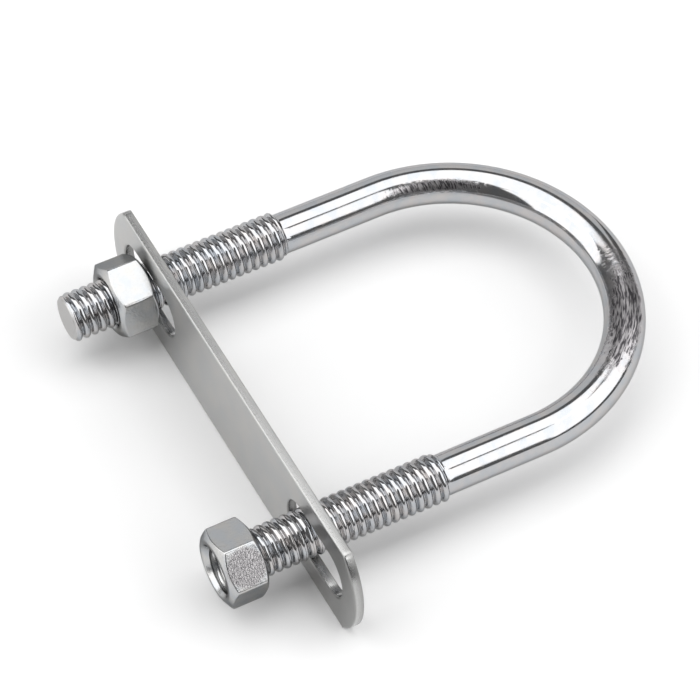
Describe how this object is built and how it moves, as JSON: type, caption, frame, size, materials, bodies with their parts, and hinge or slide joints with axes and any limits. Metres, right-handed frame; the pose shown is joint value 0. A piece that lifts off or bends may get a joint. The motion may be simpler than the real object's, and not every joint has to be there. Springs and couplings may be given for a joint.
{
  "type": "u-bolt",
  "caption": "U-bolt with threaded legs, a slotted strap plate across them and a hexagon nut on each leg, for clamping a round pipe or rod to a bracket.",
  "frame": {"origin": "centre of the bend, on the axis of the pipe that the bolt clamps", "axes": "+X from the plate towards the crown of the bend, +Y across the two legs towards the rear leg, +Z normal to the plane of the U"},
  "size_m": [0.0854, 0.0818, 0.0186],
  "materials": {
    "zinc_rod": "bright zinc plating",
    "zinc_plate": "satin zinc plating",
    "zinc_nut": "bright zinc plating"
  },
  "bodies": {
    "bolt": {"u_bolt": "zinc_rod"},
    "plate": {"strap_plate": "zinc_plate"},
    "rear_nut": {"rear_nut": "zinc_nut"},
    "front_nut": {"front_nut": "zinc_nut"}
  },
  "joints": [
    {"name": "plate_slide", "type": "slide", "parent": "bolt", "child": "plate", "axis": [1, 0, 0], "range_m": [-0.00282, 0.01976]},
    {"name": "rear_nut_spin", "type": "hinge", "parent": "plate", "child": "rear_nut", "pos_m": [-0.0438, 0.02675, 0], "axis": [1, 0, 0], "range_deg": [-730, 5050]},
    {"name": "front_nut_spin", "type": "hinge", "parent": "plate", "child": "front_nut", "pos_m": [-0.05195, -0.02675, 0], "axis": [1, 0, 0], "range_deg": [-730, 5050]}
  ],
  "couplings": [
    {"joint": "rear_nut_spin", "follows": "plate_slide", "rad_per_m": 4452.7},
    {"joint": "front_nut_spin", "follows": "plate_slide", "rad_per_m": 4452.7}
  ]
}
